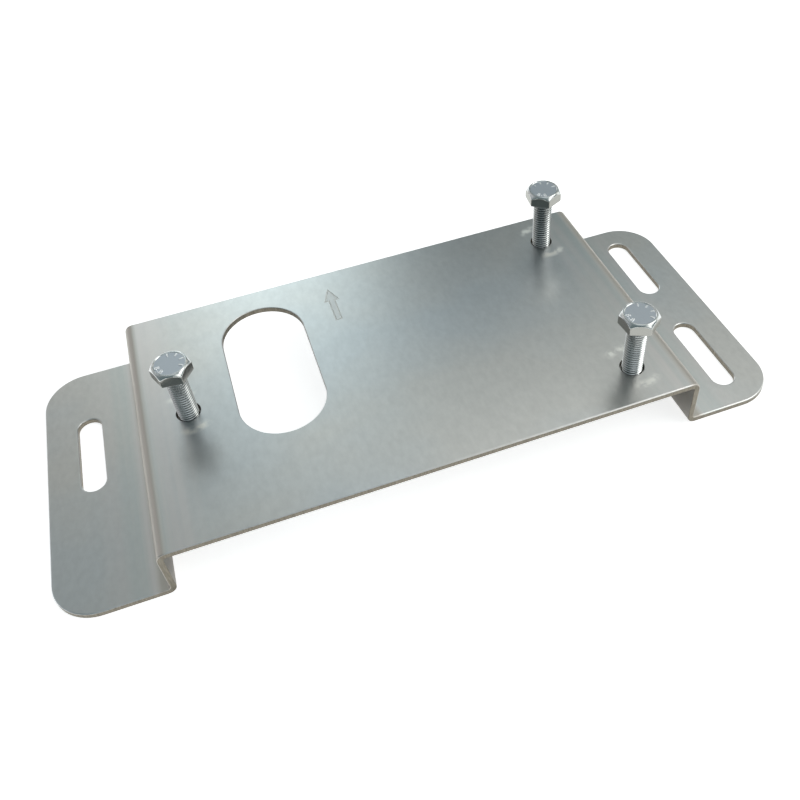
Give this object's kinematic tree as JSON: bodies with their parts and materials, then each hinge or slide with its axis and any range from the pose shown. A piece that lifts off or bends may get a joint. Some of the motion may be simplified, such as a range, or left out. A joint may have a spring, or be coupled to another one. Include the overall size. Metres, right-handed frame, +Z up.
{
  "type": "foundation plate",
  "caption": "Folded zinc-plated steel foundation plate: raised platform with a cable hole and standing hexagon bolts in welded nuts, and a slotted anchor flange at each end.",
  "frame": {"origin": "on the floor under the middle of the platform: the middle of the outline's length and width, at the flanges' underside", "axes": "+X along the plate towards the flange with two slots, +Y towards the edge that the stamped arrow points to, +Z up"},
  "size_m": [0.36, 0.15, 0.0649],
  "materials": {
    "plated_sheet": "satin zinc plate over rolled steel sheet",
    "plated_bolt": "bright zinc plate over forged and rolled steel",
    "plated_nut": "dull zinc plate over steel, with weld beads"
  },
  "bodies": {
    "plate": {"folded_plate": "plated_sheet", "left_weld_nut": "plated_nut", "back_right_weld_nut": "plated_nut", "front_right_weld_nut": "plated_nut"},
    "left_bolt": {"left_bolt": "plated_bolt"},
    "back_right_bolt": {"back_right_bolt": "plated_bolt"},
    "front_right_bolt": {"front_right_bolt": "plated_bolt"}
  },
  "joints": [
    {"name": "left_bolt_travel", "type": "slide", "parent": "plate", "child": "left_bolt", "axis": [0, 0, 1], "range_m": [-0.02745, 0.008]},
    {"name": "back_right_bolt_travel", "type": "slide", "parent": "plate", "child": "back_right_bolt", "axis": [0, 0, 1], "range_m": [-0.02945, 0.006]},
    {"name": "front_right_bolt_travel", "type": "slide", "parent": "plate", "child": "front_right_bolt", "axis": [0, 0, 1], "range_m": [-0.02885, 0.0066]}
  ]
}
